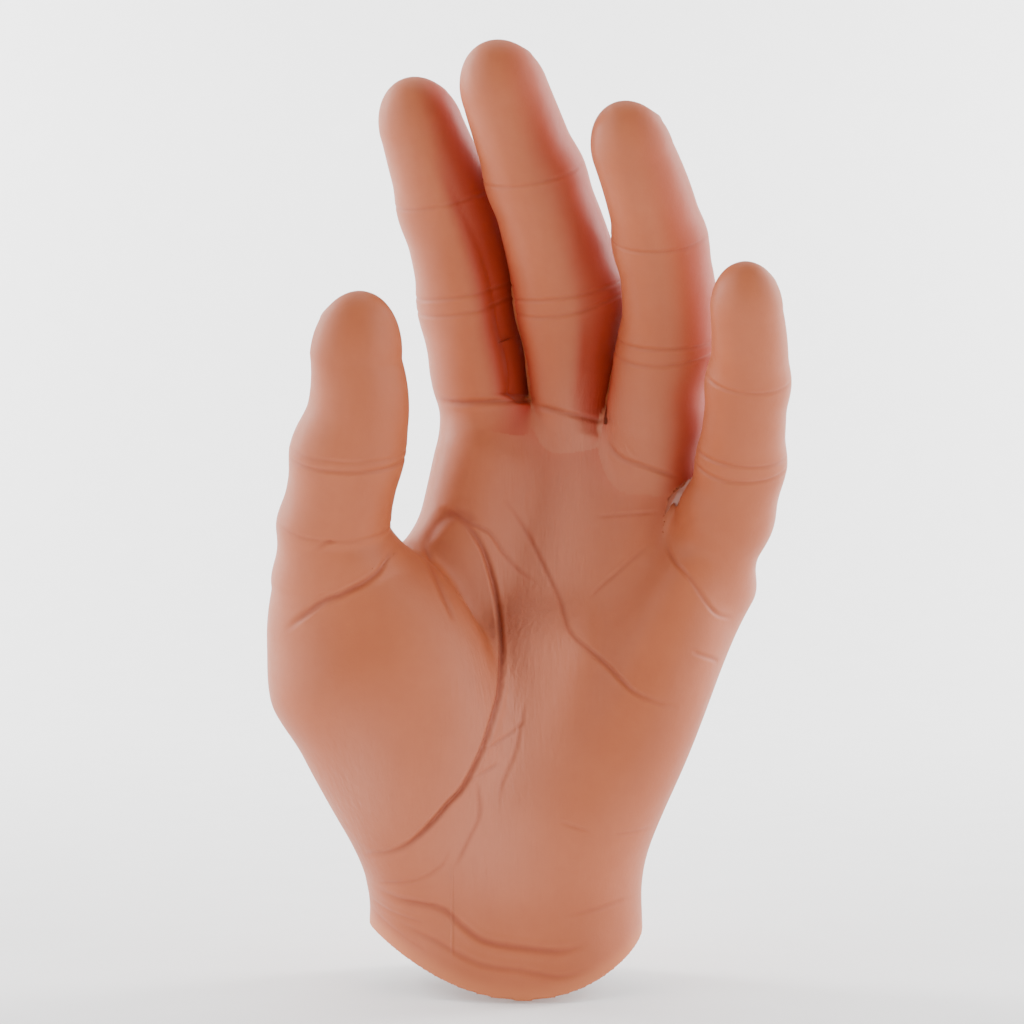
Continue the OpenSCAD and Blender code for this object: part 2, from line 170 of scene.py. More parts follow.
def smooth_min(a, b, softness):
    h = np.clip(0.5 + 0.5 * (b - a) / softness, 0.0, 1.0)
    return b * (1.0 - h) + a * h - softness * h * (1.0 - h)


def through(values, t):
    """The polynomial through evenly spaced values, at t from 0 to 1."""
    knots = np.linspace(0.0, 1.0, len(values))
    total = 0.0
    for c in np.polyfit(knots, values, len(values) - 1):
        total = total * t + float(c)
    return total


def limb(p, start, end, side, wide, front, back, caps, bow=0.0):
    """Distance to a limb with an oval section: half widths to the sides, to the front and to the back."""
    start, axis = np.asarray(start, float), np.asarray(end, float) - start
    length = np.linalg.norm(axis)
    axis = axis / length
    side = unit(side - axis * (side @ axis))
    q = p - start.astype(p.dtype)
    w, u, v = (q @ x.astype(p.dtype) for x in (axis, side, np.cross(side, axis)))
    t = np.clip(w / p.dtype.type(length), 0.0, 1.0)
    over = w - t * p.dtype.type(length)
    if bow:
        u = u - 4.0 * bow * t * (1.0 - t)
    deep = np.where(v > 0, through(front, t), through(back, t))
    cap = np.where(over < 0, p.dtype.type(caps[0]), p.dtype.type(caps[1]))
    r = np.sqrt(u * u + v * v + over * over) + 1e-4
    k = np.sqrt((u / through(wide, t)) ** 2 + (v / deep) ** 2 + (over / cap) ** 2) + 1e-6
    return r * (1.0 - 1.0 / k)


def blob(p, centre, axis, side, radii):
    """Distance to an ellipsoid whose radii are along its side, its front and its axis."""
    axis = unit(axis)
    side = unit(side - axis * (side @ axis))
    q = p - np.asarray(centre, p.dtype)
    parts = [q @ x.astype(p.dtype) for x in (side, np.cross(side, axis), axis)]
    r = np.sqrt(sum(x * x for x in parts)) + 1e-4
    k = np.sqrt(sum((x / a) ** 2 for x, a in zip(parts, radii))) + 1e-6
    return r * (1.0 - 1.0 / k)


# Half depths of a bone's skin over its half width: at its start, middle and end
FIRST_BONE = {"front": (0.95, 1.0, 0.88), "back": (0.95, 0.86, 0.9)}
MID_BONE = {"front": (0.88, 0.97, 0.87), "back": (0.9, 0.8, 0.8)}
LAST_BONE = {"front": (0.87, 0.98, 0.9), "back": (0.8, 0.72, 0.62)}


def digit_field(p, digit):
    """Distance to a digit, with a stub that runs down into the palm."""
    shapes = (FIRST_BONE, MID_BONE, LAST_BONE) if digit.bones == 3 else (FIRST_BONE, LAST_BONE)
    w = digit.widths[0]
    field = limb(p, root_start(digit), digit.centres[0], digit.side, (w * 0.75, w * 0.95, w),
                 (w * 0.5, w * 0.85, w * 0.95), (w * 0.7, w * 0.9, w * 0.95), (w * 0.8, w * 0.8))
    for k, shape in enumerate(shapes):
        last = k == digit.bones - 1
        low, high = digit.widths[k], digit.widths[k + 1]
        cap = digit.tip_cap if last else high * 0.9
        reach = digit.centres[k + 1] - digit.centres[k]
        end = digit.centres[k + 1] - unit(reach) * (last * cap)
        half = np.array((low, (low + high) / 2, high))
        bone = limb(p, digit.centres[k], end, digit.side, half, half * shape["front"], half * shape["back"],
                    (low * 0.9, cap), digit.bows[k])
        field = smooth_min(field, bone, 3.0)
    return field


def root_start(digit):
    """Where a digit's stub starts, inside the palm."""
    if digit is THUMB:
        return digit.centres[0] + (1.0, 4.0, -19.0)
    wrist = np.array((3.0, 2.0, 10.0))
    return digit.centres[0] - unit(unit(digit.hinges[0] - wrist) + digit.dirs[0]) * 18.0


def metacarpals(p, field):
    """Adds the four bones from the wrist to the knuckles."""
    heels = ((-13.0, 3.0, 14.0), (-3.0, 3.0, 14.0), (8.0, 1.0, 14.0), (13.0, -2.0, 12.0))
    for digit, heel, grow in zip(FINGERS, heels, (0.4, 0.8, 0.9, -1.8)):
        head = digit.centres[0] - digit.dirs[0] * 17.5 - digit.front(0) * 0.8
        w = digit.widths[0] + grow
        bone = limb(p, heel, head, digit.side, (w + 2, w + 0.5, w), (15.0, w + 0.3, w),
                    (16.0, w + 1.5, w - 0.3), (12.0, w - 0.8))
        field = smooth_min(field, bone, 7.0)
    return field


def hypothenar(p):
    """Distance to the pad on the little finger's side."""
    return limb(p, (14.0, -5.0, 8.0), LITTLE.hinges[0] + (-8.8, 4.5, -16.0), ACROSS,
                (12.5, 14.6, 13.9, 10.2), (15.5, 15.0, 13.0, 11.0), (13.0, 14.0, 13.0, 11.0), (12.0, 9.0))


def thenar(p):
    """Distance to the mound at the thumb's base, the bone under it and the web to the index finger."""
    knee = np.array((-31.6, -13.0, 48.0))
    top = THUMB.hinges[0] + (-0.8, 2.5, -11.0)
    low_bone = limb(p, (-15.3, -5.0, 10.0), knee, ACROSS, (14.5, 16.8, 18.0), (15.0, 17.0, 17.0),
                    (14.0, 15.0, 15.0), (12.0, 14.0))
    high_bone = limb(p, knee, top, ACROSS, (18.0, 17.7, 14.4), (17.0, 15.0, 12.0),
                     (15.0, 13.0, 12.0), (14.0, 10.0))
    mound = blob(p, (-21.0, -13.0, 45.0), (-0.28, 0.0, 1.0), ACROSS, (19.5, 15.5, 32.0))
    web = limb(p, (-31.0, -9.0, 62.0), (-14.0, 2.0, 71.0), ACROSS, (9.0, 9.0), (9.0, 8.0), (9.0, 8.0),
               (8.0, 8.0))
    edge = limb(p, (-10.8, 2.0, 77.0), (-6.3, 5.0, 94.0), ACROSS, (8.8, 9.0), (9.0, 9.0), (9.0, 9.0), (8.0, 8.0))
    low = smooth_min(smooth_min(low_bone, high_bone, 5.0), mound, 7.0)
    return smooth_min(low, smooth_min(web, edge, 6.0), 5.5)


def palm_field(p):
    """Distance to the palm and wrist, without the digits."""
    wrist = limb(p, (0.0, 0.0, -32.0), (0.0, 0.0, 16.0), WRIST_SIDE, (32.4, 30.3, 30.0),
                 (22.4, 21.0, 20.5), (22.4, 21.0, 20.0), (20.0, 16.0))
    carpus = limb(p, (0.0, -1.0, 8.0), (9.0, 1.0, 50.0), WRIST_SIDE, (20.0, 19.0, 14.0), (18.0, 17.5, 14.5),
                  (16.0, 14.0, 12.0), (10.0, 14.0))
    field = smooth_min(metacarpals(p, wrist), carpus, 6.0)
    field = smooth_min(field, hypothenar(p), 6.0)
    return smooth_min(field, thenar(p), 8.0)


# Neighbouring fingers and the height of the web between them
WEBS = ((0, 1, 109.0), (1, 2, 101.0), (2, 3, 77.5))


def hand_field(p):
    """Distance to the whole skin."""
    z = p[..., 2]
    digits = [digit_field(p, d) for d in DIGITS]
    heights = [d.over_root(p) for d in DIGITS]
    palm = palm_field(p)
    for f, h in zip(digits, heights):
        palm = smooth_max(palm, SLIT - np.maximum(f, 1.0 - h), 0.6)
    apart = list(digits)
    for a, b, web in WEBS:
        behind = p[..., 1] - (DIGITS[a].depth_line(z) + DIGITS[b].depth_line(z)) / 2
        gap = SLIT / 2 - 1.5 * np.maximum(web + 0.5 * np.clip(behind, 0.0, 8.0) - z, 0.0)
        share = (digits[a] - digits[b]) / 2 - 0.5 * np.clip(behind, -6.0, 6.0)
        apart[a] = smooth_max(apart[a], share + gap, 1.8)
        apart[b] = smooth_max(apart[b], gap - share, 1.8)
    joined = np.minimum(apart[0], apart[4])
    for a, b, web in WEBS:
        joined = smooth_min(joined, apart[b], 0.05 + 6.0 * (1.0 - smooth_step(z, web - 10.0, web)))
    shares = [np.exp(-np.clip(f, -20.0, 40.0) / 2.0) for f in digits]
    softness = sum(s * (1.0 - smooth_step(h, 1.0, 8.0)) for s, h in zip(shares, heights)) / sum(shares)
    return smooth_min(palm, joined, 5.0 * softness + 0.05)


def smooth_max(a, b, softness):
    return -smooth_min(-a, -b, softness)


def above_rim(p):
    """Height of points over the cuff's rim, which hangs lowest on the palm side."""
    return p[..., 2] + 8.0 + 0.025 * np.minimum(p[..., 1], 0.0) ** 2


def open_cuff(p, field):
    """Hollows the cuff below the wrist plate and trims it at its rim."""
    z = p[..., 2]
    wall = RIM_WALL + (WALL - RIM_WALL) * smooth_step(z, -20.0, 0.0)
    hollow = np.maximum(field + wall, z - PLATE_TOP - 0.1)
    return smooth_max(smooth_max(field, -hollow, 0.3), -above_rim(p), 1.0)


def field_grid(low, high):
    """The field on a grid. Blocks far from the surface only hold the value at their centre."""
    step = BLOCK * CELL
    count = np.ceil((np.array(high) - low) / step).astype(int)
    corners = np.stack(np.meshgrid(*(np.arange(n) for n in count), indexing="ij"), -1)
    centres = (low + (corners + 0.5) * step).astype(np.float32)
    coarse = open_cuff(centres, hand_field(centres))
    grid = np.broadcast_to(coarse[:, None, :, None, :, None],
                           (count[0], BLOCK, count[1], BLOCK, count[2], BLOCK)).copy()
    near = np.argwhere(np.abs(coarse) < step + 3.0)
    offsets = np.stack(np.meshgrid(*(np.arange(BLOCK),) * 3, indexing="ij"), -1)
    for part in np.array_split(near, max(1, len(near) // 1500)):
        points = (low + (part[:, None, None, None, :] * BLOCK + offsets) * CELL).astype(np.float32)
        values = open_cuff(points, hand_field(points))
        grid[part[:, 0], :, part[:, 1], :, part[:, 2], :] = values
    return grid.reshape(count * BLOCK)


# ---------------------------------------------------------------------------------------------------
# Surface nets: one vertex for each grid cell that the surface passes through
# ---------------------------------------------------------------------------------------------------

def crossing_points(f, cells):
    """Mean of the points where the surface crosses the edges of each cell, in cells."""
    total, hits = np.zeros((len(cells), 3)), np.zeros(len(cells))
    for a in np.ndindex(2, 2, 2):
        for axis in range(3):
            if a[axis]:
                continue
            b = list(a)
            b[axis] = 1
            fa, fb = f[tuple((cells + a).T)], f[tuple((cells + b).T)]
            crossed = (fa < 0) != (fb < 0)
            point = np.repeat(np.array([a], float), len(cells), 0)
            point[:, axis] += np.where(crossed, fa / np.where(crossed, fa - fb, 1.0), 0.0)
            total += point * crossed[:, None]
            hits += crossed
    return cells + total / hits[:, None]


def surface_nets(f, low):
    """Vertices and quads of the surface where f is zero."""
    inside = f < 0
    size = np.array(f.shape) - 1
    count = sum(inside[i:size[0] + i, j:size[1] + j, k:size[2] + k].astype(np.int8)
                for i, j, k in np.ndindex(2, 2, 2))
    active = (count > 0) & (count < 8)
    cells = np.argwhere(active)
    number = np.full(active.shape, -1, np.int32)
    number[active] = np.arange(len(cells))
    quads = []
    for axis in range(3):
        lower, upper = [slice(1, -1)] * 3, [slice(1, -1)] * 3
        lower[axis], upper[axis] = slice(0, -1), slice(1, None)
        here, there = inside[tuple(lower)], inside[tuple(upper)]
        for leaving in (True, False):
            edges = np.argwhere(here & ~there if leaving else ~here & there)
            edges = edges + [0 if k == axis else 1 for k in range(3)]
            ring = []
            for db, dc in ((0, 0), (1, 0), (1, 1), (0, 1)):
                cell = edges.copy()
                cell[:, (axis + 1) % 3] -= db
                cell[:, (axis + 2) % 3] -= dc
                ring.append(number[tuple(cell.T)])
            ring = np.stack(ring, 1)
            quads.append(ring if leaving else ring[:, ::-1])
    return low + crossing_points(f, cells) * CELL, np.concatenate(quads)


def sample(f, low, p):
    """The grid's value and gradient at points p."""
    g = (p - low) / CELL
    i = np.clip(np.floor(g).astype(int), 0, np.array(f.shape) - 2)
    t = g - i
    value, slope = np.zeros(len(p)), np.zeros((len(p), 3))
    for corner in np.ndindex(2, 2, 2):
        c = f[tuple((i + corner).T)]
        share = np.where(corner, t, 1.0 - t)
        value += c * share.prod(1)
        for axis in range(3):
            others = [k for k in range(3) if k != axis]
            slope[:, axis] += (1 if corner[axis] else -1) * c * share[:, others].prod(1)
    return value, slope / CELL


def spread(quads, values):
    """Mean of each vertex's neighbours."""
    count = len(values)
    total, weight = np.zeros_like(values), np.zeros(count)
    for k in range(4):
        a, b = quads[:, k], quads[:, (k + 1) % 4]
        weight += np.bincount(a, minlength=count) + np.bincount(b, minlength=count)
        for i in range(values.shape[1]):
            total[:, i] += np.bincount(a, values[b, i], count) + np.bincount(b, values[a, i], count)
    return total / weight[:, None]


def vertex_normals(verts, quads):
    a, b, c, d = (verts[quads[:, k]] for k in range(4))
    face = np.cross(c - a, d - b)
    total = np.zeros_like(verts)
    for k in range(4):
        for i in range(3):
            total[:, i] += np.bincount(quads[:, k], face[:, i], len(verts))
    return total / np.maximum(np.linalg.norm(total, axis=1), 1e-12)[:, None]


def pull_to_surface(grid, low, verts):
    value, slope = sample(grid, low, verts)
    return verts - slope * (np.clip(value, -0.5, 0.5) / np.maximum((slope ** 2).sum(1), 0.3))[:, None]


def skin_surface():
    """Vertices and quads of the whole skin, in millimetres, and the field that they lie on."""
    low = np.array((-58.0, -68.0, -24.0))
    grid = field_grid(low, (64.0, 32.0, 196.0))
    verts, quads = surface_nets(grid, low)
    for _ in range(4):
        verts = pull_to_surface(grid, low, 0.5 * (verts + spread(quads, verts)))
    return verts, quads, grid, low


def refine(verts, quads, near):
    """Splits the marked quads in four. Quads beside them become triangles, stored with a corner repeated."""
    following = np.roll(quads, -1, 1)
    keys = np.minimum(quads, following).astype(np.int64) * len(verts) + np.maximum(quads, following)
    more = near
    while more.any():
        near = near | more
        split = np.isin(keys, keys[near])
        more = (split.sum(1) > 1) & ~near
    edges, number = np.unique(keys[near], return_inverse=True)
    middle = len(verts) + number.reshape(-1, 4)
    centre = len(verts) + len(edges) + np.arange(len(middle))
    corner = quads[near]
    fine = [np.stack((corner[:, k], middle[:, k], centre, middle[:, k - 1]), 1) for k in range(4)]
    rows, k = np.nonzero(split & ~near[:, None])
    a, b, c, d = (quads[rows, (k + i) % 4] for i in range(4))
    m = len(verts) + np.searchsorted(edges, keys[rows, k])
    strips = [np.stack(t, 1) for t in ((m, b, c, c), (m, c, d, d), (m, d, a, a))]
    middles = (verts[edges // len(verts)] + verts[edges % len(verts)]) / 2
    verts = np.concatenate((verts, middles, verts[corner].mean(1)))
    return verts, np.concatenate([quads[~near & ~split.any(1)]] + fine + strips)


# ---------------------------------------------------------------------------------------------------
# Creases, cut along the vertex normals
# ---------------------------------------------------------------------------------------------------

# Palm creases as (depth, half width, points in X and Z)
PALM_CREASES = (
    (0.75, 0.55, ((-13.8, 83.6), (-8.5, 80.4), (-5.3, 76.2), (-3.6, 71.9), (-2.1, 65.5), (-1.1, 58), (-0.8, 51.7),
                 (-1.1, 45.3), (-2.5, 39.9), (-4.7, 33.5), (-8.5, 26.1), (-11.7, 22.5), (-16, 17.5),
                 (-20.2, 13.7), (-24.5, 11.6), (-29.2, 10.7))),
    (0.3, 0.45, ((-14.1, 84.7), (-7.6, 80.8), (-3.3, 78.7), (0, 73.9), (3.2, 70.2), (6.5, 68.1))),
    (0.38, 0.5, ((0, 85.8), (3.2, 81.5), (6.4, 75.5), (9.2, 69.7), (11.8, 64.4), (13.9, 57.9), (18.2, 53.6),
                 (22.5, 49.8), (26.8, 45.5), (31.1, 43.4), (36.4, 41.7))),
    (0.22, 0.4, ((-4.7, 33.6), (-1.1, 35.1), (4.3, 39))),
    (0.2, 0.4, ((-7.4, 27.3), (-1.1, 30.5))),
    (0.25, 0.45, ((4.3, 43.2), (2.1, 32.6), (-0.6, 26.2), (-1.1, 22))),
    (0.28, 0.45, ((-5.7, 26.6), (-5.3, 20.3), (-7.4, 15), (-10.5, 8.6))),
    (0.2, 0.4, ((-11.6, 12.2), (-13.7, 8.6), (-19, 5.5), (-27.4, 4))),
    (0.5, 0.6, ((-23.6, 75.4), (-26.6, 70.3), (-32.8, 66.6), (-37.9, 64.5), (-45.1, 59))),
    (0.28, 0.45, ((-39, 75.4), (-33.8, 77.9), (-26, 78.9))),
    (0.32, 0.5, ((-17.8, 76.3), (-14.3, 68.9), (-10.5, 60.5))),
    (0.3, 0.45, ((34.6, 77.3), (36.1, 73), (39.3, 69.2), (44.6, 62), (48.8, 60.3))),
    (0.18, 0.4, ((20, 82.1), (33.3, 83.2))),
    (0.2, 0.4, ((31.1, 76.1), (21.4, 67.6), (18.2, 64.4))),
    (0.25, 0.45, ((39.6, 53.6), (46, 51.1))),
    (0.15, 0.4, ((11.6, 18.2), (18, 16))),
    (0.15, 0.4, ((22.5, 15.1), (31.1, 15.5))),
    (0.35, 1.2, ((-17.6, 75.9), (-14.3, 81), (-9.9, 83), (-5.5, 79.7))),
)
# Creases where the fingers meet the palm
BASE_CREASES = (
    (0.5, 0.6, ((-15, 108.2), (-10, 107.2), (-1.4, 107.4), (3.5, 107.8), (6.8, 108))),
    (0.4, 0.55, ((6.0, 107), (12.1, 105), (18.7, 103.6), (23, 103))),
    (0.3, 0.5, ((22, 99), (25.3, 95), (31.9, 92.5), (37.5, 90.7))),
)
WRIST_FOLDS = (
    (0.45, 0.7, ((-27.4, 2.5), (-22.1, 0.8), (-14.7, -0.2), (-11.6, -1.7), (-8.4, -4.5), (-4.2, -7), (3.2, -8.2),
                 (11.6, -9.1), (16.9, -8))),
    (0.3, 0.6, ((-22.1, -4.9), (-13.7, -8), (-5.2, -11.8), (3.2, -12.9), (11.6, -14.4), (17.9, -13.3))),
    (0.2, 0.5, ((12.8, -1.9), (26.6, 0.7))),
    (0.16, 0.45, ((-30, -0.5), (-24, -2.6), (-17, -4.2))),
    (0.16, 0.45, ((-29, -3.2), (-23, -7), (-16, -10.5))),
)
# Lines across the palm side of each digit, as (hinge, height over it, depth, half width, bow)
FINGER_LINES = (
    (1, 0.2, 0.2, 0.4, -0.4), (1, 3.2, 0.22, 0.4, 0.4), (2, 2.2, 0.18, 0.4, 0.3),
)
THUMB_LINES = ((1, -0.8, 0.24, 0.42, 0.3), (1, 1.2, 0.14, 0.4, 0.4), (0, 1.5, 0.15, 0.4, 0.2))
# Wrinkles across the back of each hinge, as (height over it, depth)
KNUCKLE_LINES = ((-4.2, 0.25), (-2.2, 0.4), (0.0, 0.5), (2.0, 0.35), (4.0, 0.2))


def spline(points, step=0.4):
    """Evenly spaced points on a smooth curve through the given ones, with each one's share of the length."""
    p = np.asarray(points, float)
    p = np.concatenate((2 * p[:1] - p[1:2], p, 2 * p[-1:] - p[-2:-1]))
    pieces = []
    for a, b, c, d in zip(p, p[1:], p[2:], p[3:]):
        t = np.linspace(0, 1, max(2, int(np.linalg.norm(c - b) / step)), endpoint=False)[:, None]
        pieces.append(0.5 * (2 * b + (c - a) * t + (2 * a - 5 * b + 4 * c - d) * t ** 2
                             + (3 * b - a - 3 * c + d) * t ** 3))
    line = np.concatenate(pieces + [p[-2:-1]])
    return line, np.linspace(0, 1, len(line))


def groove(distance, half_width):
    """Profile of a crease: 1 at its bottom, with slightly raised lips."""
    x = distance / half_width
    return np.exp(-x * x) - 0.14 * np.exp(-((np.abs(x) - 2.1) / 0.8) ** 2)


def cut_lines(verts, normals, creases, depth):
    """Adds the depth of creases that are drawn on the front of the hand."""
    facing = smooth_step(-normals[:, 1], -0.1, 0.3)
    for deep, half_width, points in creases:
        line, share = spline(points)
        reach = half_width * 4
        close = (facing > 0) & (verts[:, 0] > line[:, 0].min() - reach) & (verts[:, 0] < line[:, 0].max() + reach)
        close &= (verts[:, 2] > line[:, 1].min() - reach) & (verts[:, 2] < line[:, 1].max() + reach)
        rows = np.flatnonzero(close)
        apart = np.linalg.norm(verts[rows][:, None, [0, 2]] - line[None], axis=2)
        nearest = apart.argmin(1)
        fade = np.clip(np.minimum(share[nearest], 1 - share[nearest]) * 5 + 0.15, 0, 1)
        depth[rows] += deep * fade * facing[rows] * groove(apart[np.arange(len(rows)), nearest], half_width)


def cut_digit_lines(verts, digit, on_digit, depth):
    """Adds the lines across a digit's palm side and the wrinkles over its hinges."""
    rows = np.flatnonzero(on_digit)
    p = verts[rows]
    for k, over, deep, half_width, bow in (THUMB_LINES if digit is THUMB else FINGER_LINES):
        mid_dir = unit(digit.dirs[k] + digit.dirs[max(k - 1, 0)])
        q = p - digit.hinges[k]
        u = q @ digit.side / digit.widths[k]
        v = q @ np.cross(digit.side, mid_dir) / digit.widths[k]
        w = q @ mid_dir - over - bow * (1 - u * u)
        depth[rows] += deep * smooth_step(v, -0.15, 0.45) * groove(w, half_width)
    for k in range(1 if digit is not THUMB else 0, digit.bones):
        mid_dir = unit(digit.dirs[k] + digit.dirs[max(k - 1, 0)])
        q = p - digit.hinges[k]
        u = q @ digit.side / digit.widths[k]
        v = q @ np.cross(digit.side, mid_dir) / digit.widths[k]
        for over, deep in KNUCKLE_LINES:
            w = q @ mid_dir - over * (1.0 + 0.5 * u * u)
            depth[rows] += deep * smooth_step(-v, 0.3, 0.7) * smooth_step(-np.abs(u), -0.85, -0.3) * groove(w, 0.7)


def nail_frame(digit, p):
    """Place of points on a digit's nail: across it, along it and over the bone, -1 to 1 in its outline."""
    q = p - (digit.centres[-1] - digit.tip_dir * NAIL_BACK)
    return (q @ digit.side / (digit.widths[-1] * 0.64), q @ digit.tip_dir / NAIL_HALF,
            -(q @ digit.front(digit.bones - 1)))


NAIL_BACK = 8.2          # from the fingertip back to the nail's middle
NAIL_HALF = 6.2          # half length of a nail


def nail_bed(verts, digit, on_digit, depth):
    """Sinks the skin under a nail and raises a fold round it."""
    rows = np.flatnonzero(on_digit)
    u, w, over = nail_frame(digit, verts[rows])
    ring = (np.abs(u) ** 3 + np.abs(w) ** 3) ** (1 / 3)
    on_back = smooth_step(over, 0.5, 2.5)
    fold = np.exp(-((ring - 1.13) / 0.1) ** 2) * smooth_step(-w, -0.9, -0.3)
    depth[rows] += on_back * (0.55 * smooth_step(-ring, -1.04, -0.94) - 0.4 * fold)


def tendons(verts, normals):
    """How far the tendons and knuckles rise on the back of the hand."""
    back = smooth_step(normals[:, 1], 0.1, 0.5)
    raised = np.zeros(len(verts))
    for digit in FINGERS:
        knuckle = digit.hinges[0] - digit.dirs[0] * 6.0
        foot = np.array((2.0, 18.0, 18.0))
        along = knuckle - foot
        t = np.clip((verts - foot) @ along / (along @ along), 0, 1)
        apart = np.linalg.norm((verts - foot - t[:, None] * along)[:, [0, 2]], axis=1)
        ridge = np.exp(-(apart / 2.6) ** 2) * smooth_step(t, 0.15, 0.5)
        dome = np.exp(-(((verts - knuckle)[:, [0, 2]] / (8.0, 8.5)) ** 2).sum(1))
        raised += back * (0.8 * ridge + 1.3 * dome)
    return raised


# ---------------------------------------------------------------------------------------------------
# Splitting the skin into pieces
# ---------------------------------------------------------------------------------------------------

def split_levels(digit):
    """(bone, height) of each split of a digit's skin past its root."""
    return [(k, digit.lengths[k] * BONE_SPLIT) for k in range(digit.bones - 1)]


def owners(points):
    """The nearest digit to each point, or -1 where no digit is near."""
    fields = np.stack([digit_field(points, d) for d in DIGITS], 1)
    return np.where(fields.min(1) < 2.5, fields.argmin(1), -1), fields


class CutMesh:
    """The skin's faces, cut along every split. A piece is (digit, number of splits passed); (-1, 0) is the palm."""

    def __init__(self, verts, quads, layers):
        self.old = len(verts)
        self.quads = quads
        self.mixes = {}                  # edge -> (number of the new vertex, share of the way along)
        self.extra = []                  # cut faces as (piece, corners)
        owner = owners(verts[quads].mean(1))[0]
        self.passed = np.zeros(len(quads), int)
        self.whole = np.ones(len(quads), bool)
        for i, digit in enumerate(DIGITS):
            self.cut(digit.over_root(verts), owner == i, i)
            for k, level in split_levels(digit):
                self.cut(digit.height(verts, k) - level, (owner == i) & (self.passed > 0), i)
        self.owner = np.where(self.passed > 0, owner, -1)
        self.mend_neighbours()
        ends = np.array(list(self.mixes), int)
        share = np.array([s for _, s in self.mixes.values()])
        self.layers = {}
        for name, v in dict(layers, place=verts).items():
            a, b = v[ends[:, 0]].T, v[ends[:, 1]].T
            self.layers[name] = np.concatenate((v, (a + (b - a) * share).T))

    def cut(self, height, mine, digit):
        """Cuts this digit's faces where height changes sign."""
        above = height[self.quads] > 0
        crossing = mine & self.whole & above.any(1) & ~above.all(1)
        for row in np.flatnonzero(crossing):
            sides = {True: [], False: []}
            ring = list(dict.fromkeys(self.quads[row].tolist()))
            for a, b in zip(ring, ring[1:] + ring[:1]):
                sides[height[a] > 0].append(a)
                if (height[a] > 0) != (height[b] > 0):
                    new = self.new_vertex(min(a, b), max(a, b), height)
                    sides[True].append(new)
                    sides[False].append(new)
            passed = self.passed[row]
            self.extra.append(((digit, passed + 1), sides[True]))
            self.extra.append(((digit, passed) if passed else (-1, 0), sides[False]))
        self.whole &= ~crossing
        self.passed += mine & above.all(1)

    def new_vertex(self, a, b, height):
        if (a, b) not in self.mixes:
            self.mixes[a, b] = (self.old + len(self.mixes), height[a] / (height[a] - height[b]))
        return self.mixes[a, b][0]

    def mend_neighbours(self):
        """Puts the new vertices into uncut faces that share an edge with a cut one."""
        following = np.roll(self.quads, -1, 1)
        low, high = np.minimum(self.quads, following), np.maximum(self.quads, following)
        keys = [a * self.old + b for a, b in self.mixes]
        touched = np.isin(low.astype(np.int64) * self.old + high, keys).any(1) & self.whole
        for row in np.flatnonzero(touched):
            ring = []
            for a, b in zip(self.quads[row].tolist(), following[row].tolist()):
                ring.append(a)
                if (min(a, b), max(a, b)) in self.mixes:
                    ring.append(self.mixes[min(a, b), max(a, b)][0])
            self.extra.append(((self.owner[row], self.passed[row]), list(dict.fromkeys(ring))))
        self.whole &= ~touched

    def piece(self, digit, passed):
        """Vertex numbers, corner indices and corner counts of one piece."""
        rows = self.whole & (self.owner == digit) & (self.passed == passed)
        rings = [ring for key, ring in self.extra if key == (digit, passed) and len(ring) > 2]
        quads = self.quads[rows]
        real = np.ones(quads.shape, bool)
        real[:, 3] = quads[:, 3] != quads[:, 2]
        corners = np.concatenate([quads[real]] + [np.array(r) for r in rings])
        counts = np.concatenate((real.sum(1), [len(r) for r in rings])).astype(np.int32)
        used, corners = np.unique(corners, return_inverse=True)
        return used, corners.ravel(), counts


def piece_object(cut, name, digit, passed):
    """A closed object of one piece, its cut ends capped and its skin keeping the whole skin's normals."""
    used, corners, counts = cut.piece(digit, passed)
    mesh = bpy.data.meshes.new(name)
    mesh.vertices.add(len(used))
    mesh.vertices.foreach_set("co", (cut.layers["place"][used] * MM).astype(np.float32).ravel())
    mesh.loops.add(len(corners))
    mesh.loops.foreach_set("vertex_index", corners.astype(np.int32))
    mesh.polygons.add(len(counts))
    mesh.polygons.foreach_set("loop_start", (np.cumsum(counts) - counts).astype(np.int32))
    mesh.update(calc_edges=True)
    for layer in ("rest", "whole_normal", "crease", "gap", "wrinkled", "rim"):
        values = cut.layers[layer][used]
        kind, field = ("FLOAT_VECTOR", "vector") if values.ndim == 2 else ("FLOAT", "value")
        mesh.attributes.new(layer, kind, "POINT").data.foreach_set(field, values.astype(np.float32).ravel())
    bm = bmesh.new()
    bm.from_mesh(mesh)
    caps = bmesh.ops.holes_fill(bm, edges=[e for e in bm.edges if e.is_boundary], sides=0)["faces"]
    for face in bm.faces:
        face.smooth = True
    for face in caps:
        face.smooth = False
    bm.to_mesh(mesh)
    bm.free()
    keep_normals(mesh)
    obj = bpy.data.objects.new(name, mesh)
    bpy.context.scene.collection.objects.link(obj)
    return obj


def keep_normals(mesh):
    """Shades the skin by the whole skin's normals and the caps flat."""
    stored = np.zeros(len(mesh.vertices) * 3, np.float32)
    mesh.attributes["whole_normal"].data.foreach_get("vector", stored)
    corner = np.zeros(len(mesh.loops), np.int32)
    mesh.loops.foreach_get("vertex_index", corner)
    normals = stored.reshape(-1, 3)[corner]
    for poly in mesh.polygons[-4:]:
        if not poly.use_smooth:
            normals[poly.loop_start:poly.loop_start + poly.loop_total] = poly.normal
    mesh.normals_split_custom_set(normals)
    mesh.attributes.remove(mesh.attributes["whole_normal"])


